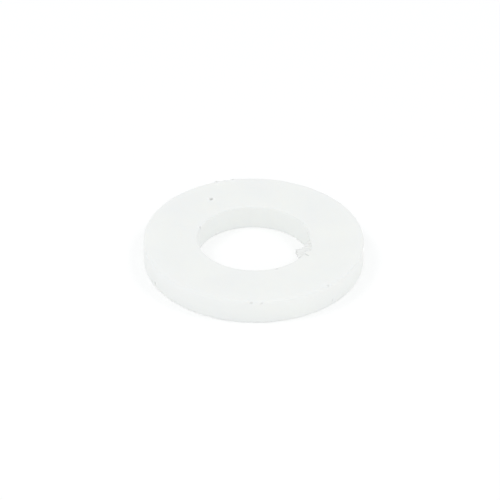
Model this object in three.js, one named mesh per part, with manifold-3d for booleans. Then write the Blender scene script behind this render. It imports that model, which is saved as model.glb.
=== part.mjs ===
// A flat washer for an M6 bolt, injection moulded in one piece from natural nylon.
//
// It is a plain ring with two flat bearing faces, a round rim and a straight bore. The mould leaves
// every edge slightly rounded, and one mark: the notch where the gate was trimmed off the bore's
// upper edge, the place where the nylon flowed in.
//
// Sizes are in millimetres. The origin is on the bore's axis, in the plane of the lower bearing face.
// +Z points from the lower face to the upper one, and azimuths are measured from +X towards +Y.

import * as THREE from "three";
import { mergeVertices } from "three/addons/utils/BufferGeometryUtils.js";
import Module from "manifold-3d";

// ---- Driving dimensions ----

const OUTER_DIAMETER = 12.5;
const BORE_DIAMETER = 6.4; // a close clearance hole for a 6 mm thread
const THICKNESS = 1.45;
const RIM_EDGE_RADIUS = 0.1; // rounding between the rim and each bearing face
const BORE_EDGE_RADIUS = 0.06; // rounding between the bore and each bearing face

const GATE_WIDTH = 0.9; // along the bore's edge
const GATE_DEPTH = 0.16; // outwards from the bore's wall, at the notch's middle
const GATE_HEIGHT = 0.2; // down from the upper face
const GATE_AZIMUTH = -15; // degrees

const TURN_STEPS = 96; // flats round the ring, a multiple of four so that it is full width on X and Y
const EDGE_STEPS = 4; // flats in each rounded edge, an even number

const NYLON = { color: 0xeff1ef, roughness: 0.42, metalness: 0.0 };

// ---- Solids ----

const wasm = await Module();
wasm.setup();

// A closed three.js geometry as a solid that can be cut.
function toSolid(geometry) {
  const bare = geometry.index ? geometry.toNonIndexed() : geometry.clone();
  bare.deleteAttribute("normal");
  bare.deleteAttribute("uv");
  const merged = mergeVertices(bare);
  return new wasm.Manifold(
    new wasm.Mesh({
      numProp: 3,
      vertProperties: merged.attributes.position.array,
      triVerts: new Uint32Array(merged.index.array),
    }),
  );
}

function toGeometry(solid) {
  const mesh = solid.getMesh();
  const geometry = new THREE.BufferGeometry();
  geometry.setAttribute("position", new THREE.BufferAttribute(mesh.vertProperties, 3));
  geometry.setIndex(new THREE.BufferAttribute(mesh.triVerts, 1));
  geometry.computeVertexNormals();
  return geometry;
}

// ---- The ring ----

// The ring's section in the plane of radius and height: a rectangle with four rounded corners,
// drawn as four quarter arcs that the path joins with straight lines.
function ringSection() {
  const bore = BORE_DIAMETER / 2;
  const rim = OUTER_DIAMETER / 2;
  const quarterTurn = Math.PI / 2;
  const corners = [
    { radius: RIM_EDGE_RADIUS, across: rim - RIM_EDGE_RADIUS, up: RIM_EDGE_RADIUS },
    { radius: RIM_EDGE_RADIUS, across: rim - RIM_EDGE_RADIUS, up: THICKNESS - RIM_EDGE_RADIUS },
    { radius: BORE_EDGE_RADIUS, across: bore + BORE_EDGE_RADIUS, up: THICKNESS - BORE_EDGE_RADIUS },
    { radius: BORE_EDGE_RADIUS, across: bore + BORE_EDGE_RADIUS, up: BORE_EDGE_RADIUS },
  ];
  const section = new THREE.Path();
  corners.forEach(({ across, up, radius }, i) => {
    section.absarc(across, up, radius, (i - 1) * quarterTurn, i * quarterTurn);
  });
  section.closePath();
  return section.getPoints(EDGE_STEPS / 2); // a path gives an arc twice the steps asked for
}

// The section turned about +Z.
function ring() {
  const turned = new THREE.LatheGeometry(ringSection(), TURN_STEPS);
  turned.rotateX(Math.PI / 2); // a lathe turns about Y
  return turned;
}

// ---- The trimmed gate ----

// The scoop of air that the trimming tool takes out of the bore's upper edge. It is round, with the
// radius that makes it GATE_WIDTH across at the bore's wall and GATE_DEPTH beyond it at the middle.
function gateScoop() {
  const wall = BORE_DIAMETER / 2;
  const halfWidth = GATE_WIDTH / 2;
  const wallBulge = wall - Math.sqrt(wall ** 2 - halfWidth ** 2);
  const scoopBulge = wallBulge + GATE_DEPTH;
  const radius = (halfWidth ** 2 + scoopBulge ** 2) / (2 * scoopBulge);
  const overrun = GATE_HEIGHT; // above the upper face, so that the cut is clean
  const scoop = new THREE.CylinderGeometry(radius, radius, GATE_HEIGHT + overrun, TURN_STEPS);
  scoop.rotateX(Math.PI / 2); // a cylinder stands along Y
  scoop.translate(wall + GATE_DEPTH - radius, 0, THICKNESS - GATE_HEIGHT + (GATE_HEIGHT + overrun) / 2);
  scoop.rotateZ(THREE.MathUtils.degToRad(GATE_AZIMUTH));
  return scoop;
}

// ---- The washer ----

function washerRing() {
  const trimmed = toSolid(ring()).subtract(toSolid(gateScoop()));
  const mesh = new THREE.Mesh(toGeometry(trimmed), new THREE.MeshStandardMaterial(NYLON));
  mesh.name = "washer_ring";
  return mesh;
}

const washer = new THREE.Group();
washer.add(washerRing());

export default washer;
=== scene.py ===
# A flat washer for an M6 bolt, injection moulded in one piece from natural nylon 66.
#
# Lengths are in millimetres up to the point where a mesh, a pattern or a light is made, and azimuths
# run from +X towards +Y. The origin is on the bore's axis, in the plane of the lower bearing face.

import math

import bpy
import numpy as np
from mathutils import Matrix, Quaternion, Vector, noise


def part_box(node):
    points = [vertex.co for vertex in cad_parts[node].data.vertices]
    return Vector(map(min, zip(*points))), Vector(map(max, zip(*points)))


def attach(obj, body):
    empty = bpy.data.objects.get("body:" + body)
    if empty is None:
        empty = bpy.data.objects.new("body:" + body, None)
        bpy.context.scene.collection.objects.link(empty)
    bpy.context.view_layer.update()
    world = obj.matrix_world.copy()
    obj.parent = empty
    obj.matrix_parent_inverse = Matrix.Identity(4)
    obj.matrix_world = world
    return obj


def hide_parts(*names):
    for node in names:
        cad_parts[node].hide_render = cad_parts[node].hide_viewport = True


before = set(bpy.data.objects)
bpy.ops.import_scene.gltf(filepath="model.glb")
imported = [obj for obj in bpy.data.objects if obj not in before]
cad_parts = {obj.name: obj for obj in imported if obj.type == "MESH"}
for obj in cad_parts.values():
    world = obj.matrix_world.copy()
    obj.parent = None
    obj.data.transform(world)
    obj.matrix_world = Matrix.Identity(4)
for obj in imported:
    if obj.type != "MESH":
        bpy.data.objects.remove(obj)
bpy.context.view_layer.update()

# ---- The washer ring ----
# The whole washer is this one moulding of natural nylon 66. It came out of its mould with rounded
# edges, a slight sink in each face, a torn gate on the bore's upper edge and a weld line across from
# it, and it has been knocked about among others in a bag ever since.

MM = 0.001

ring_low, ring_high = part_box("washer_ring")
cad_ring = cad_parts["washer_ring"]
THICKNESS = (ring_high.z - ring_low.z) / MM
RIM = (ring_high.x - ring_low.x) / 2 / MM
BORE = round(min(math.hypot(v.co.x, v.co.y) for v in cad_ring.data.vertices) / MM, 2)
RIM_EDGE = 0.1  # radius of the rounding between the rim and each face
BORE_EDGE = 0.06  # the same at the bore

GATE_AZIMUTH = -15.0  # degrees
GATE_WIDTH = 0.9  # of the scoop where it meets the bore's wall
GATE_DEPTH = 0.16  # of the scoop at its middle, outwards from the wall
WEB_LEVEL = THICKNESS - 0.18  # roughly the height of the scoop's floor, which goes on inwards as a web
WEB_EDGE = 0.06  # thickness of the web at its torn edge
WEB_ROOT = 0.28  # the same where it leaves the wall

# Away from the gate, the rows of the web's top spread over the plain wall, this far above and below
# the web's level.
ROWS_ABOVE = 0.05
ROWS_BELOW = 0.02

# The ring's section, going round with the plastic on the left: the lower face outwards, up the rim,
# the upper face inwards and down the bore. Each point has its radius and height, the direction that
# faces out of the plastic there, how far it gives way to the scoop, how far it goes inwards with the
# web, how far it takes on the web's level and how deep it is below that.
section = []
EDGE_STEPS = 4


def straight(start, end, steps, facing, give=(0, 0), web=(0, 0), shelf=(0, 0), below=(0, 0), crowd=1):
    """A straight stretch. Crowd is over 1 where its points stand closer together towards the end."""
    for t in 1 - np.linspace(1, 0, steps, endpoint=False) ** crowd:
        spans = (start[0], end[0]), (start[1], end[1]), give, web, shelf, below
        radius, height, *rest = (a + (b - a) * t for a, b in spans)
        section.append((radius, height, *facing, *rest))


def rounding(centre, size, from_degrees, give=0):
    """A quarter turn round a corner."""
    for t in np.linspace(0, 1, EDGE_STEPS, endpoint=False):
        angle = math.radians(from_degrees + 90 * t)
        across, rise = math.cos(angle), math.sin(angle)
        section.append((centre[0] + size * across, centre[1] + size * rise, across, rise, give, 0, 0, 0))


rim_flat = RIM - RIM_EDGE  # where the flat part of each face ends
bore_flat = BORE + BORE_EDGE
rim_top = THICKNESS - RIM_EDGE
scoop_top = (BORE, THICKNESS - BORE_EDGE)
scoop_foot = (BORE, WEB_LEVEL + ROWS_ABOVE)
web_top = (BORE, WEB_LEVEL - ROWS_BELOW)
web_nose = (BORE, WEB_LEVEL - WEB_EDGE)
web_foot = (BORE, WEB_LEVEL - WEB_ROOT)
down, outwards, up, inwards = (0, -1), (1, 0), (0, 1), (-1, 0)
straight((bore_flat, 0), (rim_flat, 0), steps=14, facing=down)
rounding((rim_flat, RIM_EDGE), RIM_EDGE, from_degrees=-90)
straight((RIM, RIM_EDGE), (RIM, rim_top), steps=15, facing=outwards)
rounding((rim_flat, rim_top), RIM_EDGE, from_degrees=0)
straight((rim_flat, THICKNESS), (bore_flat, THICKNESS), steps=50, facing=up, give=(0, 1), crowd=1.4)
rounding((bore_flat, scoop_top[1]), BORE_EDGE, from_degrees=90, give=1)
straight(scoop_top, scoop_foot, steps=5, facing=inwards, give=(1, 1), shelf=(0, 1))
straight(scoop_foot, web_top, steps=10, facing=inwards, give=(1, 0), web=(0, 1), shelf=(1, 1))
straight(
    web_top, web_nose, steps=3, facing=inwards, web=(1, 1), shelf=(1, 1), below=(0, WEB_EDGE)
)
straight(
    web_nose, web_foot, steps=6, facing=inwards, web=(1, 0), shelf=(1, 1), below=(WEB_EDGE, WEB_ROOT)
)
straight(web_foot, (BORE, BORE_EDGE), steps=10, facing=inwards)
rounding((bore_flat, BORE_EDGE), BORE_EDGE, from_degrees=180)
section = np.array(section)

# The columns of the mesh stand closer together round the gate, whose tears are small.
GATE_REACH = 27.0  # degrees to each side
GATE_COLUMNS = 240
OTHER_COLUMNS = 530
around = np.concatenate([
    np.linspace(-GATE_REACH, GATE_REACH, GATE_COLUMNS, endpoint=False),
    np.linspace(GATE_REACH, 360 - GATE_REACH, OTHER_COLUMNS, endpoint=False),
])
from_gate = np.radians((around + 180) % 360 - 180)[:, None]
azimuth = from_gate + math.radians(GATE_AZIMUTH)
columns, rows = len(around), len(section)
radius, height, out_across, out_up, give, web, shelf, below = (
    np.repeat(section[None, :, i], columns, axis=0) for i in range(section.shape[1])
)


def place(radius, azimuth, height):
    """Points from their radius, azimuth in radians and height."""
    parts = np.broadcast_arrays(radius * np.cos(azimuth), radius * np.sin(azimuth), height)
    return np.stack(parts, axis=-1)


def waver(points, wavelength, seed):
    """Smooth noise between about -1 and 1 at each point, with swells about one wavelength long."""
    flat = points.reshape(-1, 3) / wavelength + seed
    return np.array([noise.noise(Vector(p)) for p in flat]).reshape(points.shape[:-1])


def swell(distance, reach):
    """1 at no distance, fading to 0 over the reach."""
    return np.exp(-((distance / reach) ** 2))


# The scoop is round, GATE_WIDTH across at the wall and GATE_DEPTH beyond it. The web is the thin
# tongue of plastic that tore off with the runner: each point of its outline has its azimuth in
# degrees, how far it stands into the bore, and how far its top is below the upper face.
WEB_OUTLINE = [
    (-39, 0.0, 0.06), (-34, 0.2, 0.07), (-30, 0.44, 0.08), (-23, 0.66, 0.1), (-19, 0.48, 0.14),
    (-15, 0.4, 0.16), (-9, 0.3, 0.18), (-3, 0.18, 0.2), (4, 0.0, 0.2),
]
LEAST_STEP = 0.01  # down from the bore's rounded edge to the web's top
GATE_FADE = 0.05  # the web's level is reached where the scoop and web are together this wide
TEAR_LENGTH = 0.16  # of one bump of the torn plastic
TEAR_RISE = 0.03  # of the same
SCOOP_TEARING = 0.6  # how uneven the scoop's wall is, as a share of its depth
WEB_TEARING = 0.5  # how uneven the web's edge is, as a share of its reach
SCAR_COVER = 0.35  # how much of the torn plastic is scarred on average
SCAR_PATCHES = 0.7  # how much that comes and goes with the tears
wall_bulge = BORE - math.sqrt(BORE**2 - (GATE_WIDTH / 2) ** 2)
scoop_bulge = wall_bulge + GATE_DEPTH
scoop_radius = ((GATE_WIDTH / 2) ** 2 + scoop_bulge**2) / (2 * scoop_bulge)
scoop_centre = BORE + GATE_DEPTH - scoop_radius
inside_scoop = np.clip(scoop_radius**2 - (scoop_centre * np.sin(from_gate)) ** 2, 0, None)
scoop_wall = scoop_centre * np.cos(from_gate) + np.sqrt(inside_scoop)
scooped = np.where(np.abs(from_gate) < math.pi / 2, np.clip(scoop_wall - BORE, 0, None), 0)
degrees = np.degrees(azimuth)
web_azimuths, web_reaches, web_drops = zip(*WEB_OUTLINE)
web_reach = np.interp(degrees, web_azimuths, web_reaches)
web_drop = np.interp(degrees, web_azimuths, web_drops)
tears = waver(place(radius, azimuth, height), TEAR_LENGTH, seed=3.0)
edge_tears = waver(place(BORE, azimuth, 0.0), TEAR_LENGTH, seed=8.0)
in_gate = np.clip((scooped + web_reach) / GATE_FADE, 0, 1)
wall_top = scoop_top[1]
web_level = np.minimum(THICKNESS - web_drop + TEAR_RISE * edge_tears * in_gate, wall_top - LEAST_STEP)
scooped_there = give * scooped * (1 + SCOOP_TEARING * tears)
web_there = web * web_reach * (1 + WEB_TEARING * edge_tears)
radius = radius + scooped_there - web_there
lowered = wall_top + shelf * (web_level - below - wall_top)
height = np.where(shelf > 0, height + in_gate * (lowered - height), height)
midway = 4 * give * (1 - give)  # 1 halfway across the scoop's floor, 0 at its ends
torn = np.clip(midway + web, 0, 1) * shelf * in_gate
radius = radius + TEAR_RISE * tears * torn
scar = torn * np.clip(SCAR_COVER + SCAR_PATCHES * tears, 0, 1)

# Slow swells of the whole form, a slight oval, and the sink that the middle of the ring takes as it
# cools. All these are pushes along the direction that faces out of the plastic.
FORM_SWELL = 0.01
FORM_LENGTH = 4.5
OUT_OF_ROUND = 0.012
OVAL_TURN = 0.6  # radians
SINK = 0.02
points = place(radius, azimuth, height)
mid_radius = (RIM + BORE) / 2
half_band = (RIM - BORE) / 2
dish = np.clip(1 - ((radius - mid_radius) / half_band) ** 2, 0, 1)
push = waver(points, FORM_LENGTH, seed=11.0) * FORM_SWELL
push = push - dish * SINK * np.abs(out_up)
push = push + OUT_OF_ROUND * np.cos(2 * azimuth + OVAL_TURN) * out_across

# The weld line, where the two streams of plastic met across the ring from the gate.
WELD_DEPTH = 0.012
WELD_WIDTH = 0.07
WELD_WANDER = 0.12  # to each side of a straight line
WELD_WANDER_LENGTH = 1.1
weld_arc = np.where(np.abs(from_gate) > math.pi / 2, np.sin(from_gate) * radius, RIM)
seen_from_above = points * [1, 1, 0]  # so that it goes straight down through the ring
weld_wander = waver(seen_from_above, WELD_WANDER_LENGTH, seed=5.0) * WELD_WANDER
push = push - WELD_DEPTH * swell(weld_arc - weld_wander, WELD_WIDTH)

# The parting line round the foot of the rim, where the two halves of the mould closed.
PARTING_HEIGHT = 0.21
PARTING_RISE = 0.012
PARTING_WIDTH = 0.05
on_rim = np.clip(out_across, 0, 1)
push = push + PARTING_RISE * swell(height - PARTING_HEIGHT, PARTING_WIDTH) * on_rim

# Knocks, pits and burrs from handling, and pimples from the mould: azimuth, radius, height, size,
# depth and darkening, where what stands proud has a negative depth. The darkening is painted shade in
# and round the mark, with some dust. Each has a small raised lip, and a mark painted dark is painted
# white as much on its lip and in its pit, partly as the nylon's stress whitening and partly as a
# painted highlight on the lip.
MARKS = [
    (122, 4.7, THICKNESS, 0.1, 0.06, 0.7),
    (161, 3.22, THICKNESS, 0.08, 0.04, 0.4),
    (133.5, 3.2, 0.03, 0.08, 0.04, 0.5),
    (117, 3.2, THICKNESS, 0.07, 0.02, 0.1),
    (111, 6.22, THICKNESS, 0.1, -0.08, 0.55),
    (106, 6.2, THICKNESS, 0.05, -0.03, 0.3),
    (102, 6.22, THICKNESS, 0.09, -0.05, 0.65),
    (29, 3.2, THICKNESS, 0.06, 0.015, 0.1),
    (-6, 6.25, 0.65, 0.07, 0.03, 0.4),
    (-45, 6.25, 0.3, 0.06, 0.02, 0.25),
    (-48, 6.18, THICKNESS, 0.08, 0.04, 0.4),
    (-67, 3.27, THICKNESS, 0.08, 0.03, 0.35),
    (-86, 6.25, THICKNESS - 0.1, 0.07, 0.03, 0.25),
    (-91, 6.25, THICKNESS - 0.1, 0.07, 0.04, 0.28),
    (-82, 5.1, THICKNESS, 0.15, -0.02, 0.0),
    (-129, 6.25, 1.3, 0.15, -0.02, 0.0),
    (-149, 6.25, 0.6, 0.06, -0.02, 0.0),
    (-152, 6.25, 0.3, 0.07, 0.02, 0.5),
    (-155, 6.25, 0.2, 0.05, 0.02, 0.25),
    (-174, 6.25, 0.15, 0.07, 0.03, 0.35),
]
LIP_AWAY = 1.7  # of the mark's size
LIP_WIDTH = 0.6  # of the same
LIP_RISE = 0.3  # of the mark's depth
RAGGEDNESS = 0.07  # of the marks' outlines
RAGGED_LENGTH = 0.13
# Painted shade, with some dust, in the torn plastic of the scoop and the web.
SCAR_SHADE_AND_DUST = 0.3  # in the scars of the torn gate
TORN_BRUISE = 0.4  # how far all of the torn plastic is whitened
ragged = RAGGEDNESS * waver(points, RAGGED_LENGTH, seed=21.0)
# Painted shade, with some dust, in the gate's scars, and below in pits, creases and along the web's
# edge.
dust_and_shade = SCAR_SHADE_AND_DUST * scar
# Stress whitening of all the torn plastic; the marks below add painted highlights on their lips.
whitening_and_highlight = TORN_BRUISE * torn
for at_degrees, at_radius, at_height, size, depth, darkening in MARKS:
    centre = place(np.array(at_radius), np.radians(at_degrees), np.array(at_height))
    away = np.linalg.norm(points - centre, axis=-1) + ragged
    pit = swell(away, size)
    lip = swell(away - LIP_AWAY * size, LIP_WIDTH * size)
    push = push - depth * pit + LIP_RISE * abs(depth) * lip
    # Painted shade in and round the mark, with some dust.
    dust_and_shade = np.maximum(dust_and_shade, darkening * pit)
    # Stress whitening and a painted highlight, on the lip and in the pit.
    whitening_and_highlight = np.maximum(whitening_and_highlight, darkening * (lip + pit))

# Cracks and creases round the gate, each with its width, its darkening, which is painted shade with
# some dust, and its course as radius, azimuth and height.
CREASE_DEPTH = 0.03
CREASE_RAGGEDNESS = 0.3  # of the marks' own
CREASES = [
    (0.05, 0.5, [(3.17, -38.3, 1.42), (3.15, -33, 1.42), (3.16, -27.5, 1.42)]),
    (0.035, 0.35, [(3.16, -27.5, 1.42), (3.33, -27.7, THICKNESS), (3.52, -28.7, THICKNESS)]),
    (0.035, 0.45, [(3.1, -21.4, 1.35), (3.22, -20.5, 1.4), (3.4, -19.4, THICKNESS)]),
    (0.05, 0.5, [(3.0, -10.9, 1.3), (3.1, -9, 1.35), (3.22, -8.5, THICKNESS)]),
    (0.04, 0.2, [(3.2, 17, 1.2), (3.2, 8, 1.05)]),
]
for width, darkening, course in CREASES:
    turns = [place(np.array(r), math.radians(a), np.array(h)) for r, a, h in course]
    for start, end in zip(turns, turns[1:]):
        along = end - start
        share = np.clip((points - start) @ along / (along @ along), 0, 1)
        away = np.linalg.norm(points - start - share[..., None] * along, axis=-1)
        crease = swell(away + CREASE_RAGGEDNESS * ragged, width)
        push = push - CREASE_DEPTH * crease * (1 - web)
        # Painted shade in the crease, with some dust.
        dust_and_shade = np.maximum(dust_and_shade, darkening * crease)

# Painted shade along the web's torn edge, on the side towards -Y: the azimuths where it starts, is at
# its full strength, begins to fade and ends.
EDGE_SHADE = 0.35
EDGE_SHADE_COURSE = (-40, -38, -25, -21)
EDGE_SHARE = 0.85  # the outermost points of the web are those that go inwards with it this much
edge_shade = EDGE_SHADE * (web > EDGE_SHARE) * np.interp(degrees, EDGE_SHADE_COURSE, (0, 1, 1, 0))
dust_and_shade = np.maximum(dust_and_shade, edge_shade)

radius = radius + push * out_across
height = height + push * out_up
points = place(radius, azimuth, height) * MM

# The mesh is one closed grid, round the washer by columns and round its section by rows.
index = np.arange(columns * rows).reshape(columns, rows)
next_column = np.roll(index, -1, axis=0)
next_row = np.roll(index, -1, axis=1)
across_both = np.roll(next_column, -1, axis=1)
quads = np.stack([index, next_column, across_both, next_row], axis=-1).reshape(-1, 4)
ring_mesh = bpy.data.meshes.new("moulded_washer")
ring_mesh.from_pydata(points.reshape(-1, 3).tolist(), [], quads.tolist())
ring_mesh.polygons.foreach_set("use_smooth", [True] * len(quads))
# The painted highlight with the whitening, and the painted shade with the dust, go to the material as
# attributes.
for name, values in (("whitening_and_highlight", whitening_and_highlight), ("dust_and_shade", dust_and_shade)):
    layer = ring_mesh.attributes.new(name, "FLOAT", "POINT")
    layer.data.foreach_set("value", values.astype(np.float32).ravel())
ring_mesh.update()
washer = bpy.data.objects.new("moulded_washer", ring_mesh)
bpy.context.scene.collection.objects.link(washer)


def linear(hex_colour):
    """An sRGB hex colour as linear red, green, blue and alpha."""
    channels = [int(hex_colour[i : i + 2], 16) / 255 for i in (1, 3, 5)]
    bent = [c / 12.92 if c <= 0.04045 else ((c + 0.055) / 1.055) ** 2.4 for c in channels]
    return (*bent, 1.0)


def add(tree, kind, settings=None, inputs=None):
    """Adds a node, with its settings and with its inputs set to values or linked to other outputs.

    A colour mix takes its share at input 0 and its two colours at 6 and 7, and gives its result at
    output 2.
    """
    made = tree.nodes.new(kind)
    for name, value in (settings or {}).items():
        setattr(made, name, value)
    for socket, value in (inputs or {}).items():
        if isinstance(value, bpy.types.NodeSocket):
            tree.links.new(value, made.inputs[socket])
        else:
            made.inputs[socket].default_value = value
    return made


def per_metre(millimetres):
    """A pattern's scale for features of that size."""
    return 1 / (millimetres * MM)


# Injection-moulded natural nylon 66: unpigmented, so it is a milky, faintly greenish white that light
# goes a little way into. The spark-eroded mould gives it a fine satin grain, and it clouds where it
# froze at different speeds.
NYLON = linear("#F0F2F1")
NYLON_CLOUD = linear("#F3F5F2")
# Painted highlight on the lips of knocks, which stands also for the stress whitening of knocked and torn
# nylon.
NYLON_WHITE_AND_HIGHLIGHT = linear("#FCFDFC")
# Painted shade, with some dust: the dark grey of pits, creases, the gate's scars and the web's torn
# edge.
NYLON_DUST_AND_SHADE = linear("#8A8A84")
NYLON_IOR = 1.53
NYLON_ROUGHNESS = (0.58, 0.72)  # at its smoothest and where it is most scuffed
# Roughness added where the nylon is bruised and where the lips of marks carry a painted highlight.
WHITENING_AND_HIGHLIGHT_ROUGHNESS = 0.3  # added where it is bruised
NYLON_MILKINESS = 0.4  # the share of its colour that comes from light going into it
NYLON_GLOW = (1.0, 0.95, 0.9)  # red light goes furthest
NYLON_GLOW_REACH = 1.5
CLOUD_SIZE = 2.2
GRAIN_SIZE = 0.18  # the real grain, near 0.05 mm, wouldn't show
GRAIN_HEIGHT = 0.004
SCUFF_SIZE = 0.8
NOISE_RANGE = (0.3, 0.7)  # where nearly all of a noise pattern's values lie

nylon = bpy.data.materials.new("injection-moulded natural nylon 66")
nylon.use_nodes = True
tree = nylon.node_tree
tree.nodes.clear()
position = add(tree, "ShaderNodeTexCoord").outputs["Object"]
whitening_and_highlight_amount = add(tree, "ShaderNodeAttribute", {"attribute_name": "whitening_and_highlight"}).outputs["Fac"]
dust_and_shade_amount = add(tree, "ShaderNodeAttribute", {"attribute_name": "dust_and_shade"}).outputs["Fac"]
clouds = add(tree, "ShaderNodeTexNoise", {}, {
    "Vector": position,
    "Scale": per_metre(CLOUD_SIZE),
    "Detail": 3.0,
    "Roughness": 0.45,
})
grain = add(tree, "ShaderNodeTexNoise", {}, {
    "Vector": position,
    "Scale": per_metre(GRAIN_SIZE),
    "Detail": 4.0,
    "Roughness": 0.6,
})
scuffs = add(tree, "ShaderNodeTexNoise", {}, {
    "Vector": position,
    "Scale": per_metre(SCUFF_SIZE),
    "Detail": 6.0,
    "Roughness": 0.65,
    "Distortion": 1.5,
})
cloudiness = add(tree, "ShaderNodeMapRange", {}, {
    "Value": clouds.outputs["Fac"],
    "From Min": NOISE_RANGE[0],
    "From Max": NOISE_RANGE[1],
})
cloudy = add(tree, "ShaderNodeMix", {"data_type": "RGBA"}, {
    0: cloudiness.outputs["Result"],
    6: NYLON,
    7: NYLON_CLOUD,
})
# Painted highlight and stress whitening.
whitened = add(tree, "ShaderNodeMix", {"data_type": "RGBA"}, {
    0: whitening_and_highlight_amount,
    6: cloudy.outputs[2],
    7: NYLON_WHITE_AND_HIGHLIGHT,
})
# Painted shade and dust.
darkened = add(tree, "ShaderNodeMix", {"data_type": "RGBA"}, {
    0: dust_and_shade_amount,
    6: whitened.outputs[2],
    7: NYLON_DUST_AND_SHADE,
})
satin = add(tree, "ShaderNodeMapRange", {}, {
    "Value": scuffs.outputs["Fac"],
    "From Min": NOISE_RANGE[0],
    "From Max": NOISE_RANGE[1],
    "To Min": NYLON_ROUGHNESS[0],
    "To Max": NYLON_ROUGHNESS[1],
})
roughened = add(tree, "ShaderNodeMath", {"operation": "MULTIPLY_ADD", "use_clamp": True}, {
    0: whitening_and_highlight_amount,
    1: WHITENING_AND_HIGHLIGHT_ROUGHNESS,
    2: satin.outputs["Result"],
})
relief = add(tree, "ShaderNodeBump", {}, {
    "Height": grain.outputs["Fac"],
    "Strength": 1.0,
    "Distance": GRAIN_HEIGHT * MM,
})
shader = add(tree, "ShaderNodeBsdfPrincipled", {}, {
    "Base Color": darkened.outputs[2],
    "Roughness": roughened.outputs[0],
    "IOR": NYLON_IOR,
    "Subsurface Weight": NYLON_MILKINESS,
    "Subsurface Radius": NYLON_GLOW,
    "Subsurface Scale": NYLON_GLOW_REACH * MM,
    "Normal": relief.outputs["Normal"],
})
add(tree, "ShaderNodeOutputMaterial", {}, {"Surface": shader.outputs["BSDF"]})
ring_mesh.materials.append(nylon)

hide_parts("washer_ring")
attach(washer, "root")

# ---- The floor ----
# A wide sheet of sanded opal acrylic that the washer lies on. It is softly lit from below, so that it
# is white and almost without shadow.
FLOOR_SIDE = 2000.0
FLOOR_GAP = 0.005  # below the plane of the lower face, whose lowest swells bed into the sheet
OPAL = linear("#DADADA")
OPAL_LIGHT = linear("#FEFFFF")
OPAL_GLOW = 0.325

side = FLOOR_SIDE / 2 * MM
level = ring_low.z - FLOOR_GAP * MM
corners = [(-side, -side, level), (side, -side, level), (side, side, level), (-side, side, level)]
floor_mesh = bpy.data.meshes.new("floor")
floor_mesh.from_pydata(corners, [], [(0, 1, 2, 3)])
floor = bpy.data.objects.new("floor", floor_mesh)
bpy.context.scene.collection.objects.link(floor)

# Sanded opal acrylic: a soft, even white without gloss, with the light from below as a glow.
opal = bpy.data.materials.new("sanded opal acrylic")
opal.use_nodes = True
tree = opal.node_tree
tree.nodes.clear()
matt = add(tree, "ShaderNodeBsdfDiffuse", {}, {"Color": OPAL})
glow = add(tree, "ShaderNodeEmission", {}, {"Color": OPAL_LIGHT, "Strength": OPAL_GLOW})
both = add(tree, "ShaderNodeAddShader", {}, {0: matt.outputs[0], 1: glow.outputs[0]})
add(tree, "ShaderNodeOutputMaterial", {}, {"Surface": both.outputs[0]})
floor_mesh.materials.append(opal)

# ---- The light ----
# A white studio tent lights the washer from all round. A wide softbox in front lights its walls, and
# a small one high on each side shades the floor close to them. Each has its place, side and watts.
TENT_COLOUR = linear("#FDFEFF")
TENT_STRENGTH = 0.825
SOFTBOX_COLOUR = linear("#FFFDFA")
SOFTBOXES = [
    (Vector((0.0, -180.0, 145.0)), 120.0, 0.024),
    (Vector((-125.0, -10.0, 200.0)), 60.0, 0.05),
    (Vector((125.0, -10.0, 200.0)), 60.0, 0.042),
]

world = bpy.data.worlds.new("studio tent")
world.use_nodes = True
background = world.node_tree.nodes["Background"]
background.inputs["Color"].default_value = TENT_COLOUR
background.inputs["Strength"].default_value = TENT_STRENGTH
bpy.context.scene.world = world

for place_mm, softbox_side, watts in SOFTBOXES:
    lamp = bpy.data.lights.new("softbox", "AREA")
    lamp.energy = watts
    lamp.size = softbox_side * MM
    lamp.color = SOFTBOX_COLOUR[:3]
    softbox = bpy.data.objects.new("softbox", lamp)
    softbox.location = place_mm * MM
    softbox.rotation_euler = (-place_mm).to_track_quat("-Z", "Y").to_euler()
    bpy.context.scene.collection.objects.link(softbox)
bpy.context.scene.view_settings.view_transform = "Standard"

# ---- The camera ----
# It looks along +Y and down on the washer, from about twelve of its widths away, held very slightly
# off level.
ELEVATION = math.radians(34.54)
ROLL = math.radians(0.54)
DISTANCE = 153.9
VIEW_WIDTH = 28.5  # of the whole view at the washer
SENSOR = 36.0
OFF_CENTRE = (-0.0074, -0.0032)  # of the view's width
NEAREST = 0.01  # metres
FURTHEST = 10.0

camera_data = bpy.data.cameras.new("camera")
camera_data.sensor_width = SENSOR
camera_data.lens = SENSOR * DISTANCE / VIEW_WIDTH
camera_data.shift_x, camera_data.shift_y = OFF_CENTRE
camera_data.clip_start = NEAREST
camera_data.clip_end = FURTHEST
camera = bpy.data.objects.new("camera", camera_data)
middle = (ring_low + ring_high) / 2
back = Vector((0, -math.cos(ELEVATION), math.sin(ELEVATION)))
camera.location = middle + back * DISTANCE * MM
camera.rotation_mode = "QUATERNION"
camera.rotation_quaternion = Quaternion(back, ROLL) @ (-back).to_track_quat("-Z", "Y")
bpy.context.scene.collection.objects.link(camera)
bpy.context.scene.camera = camera
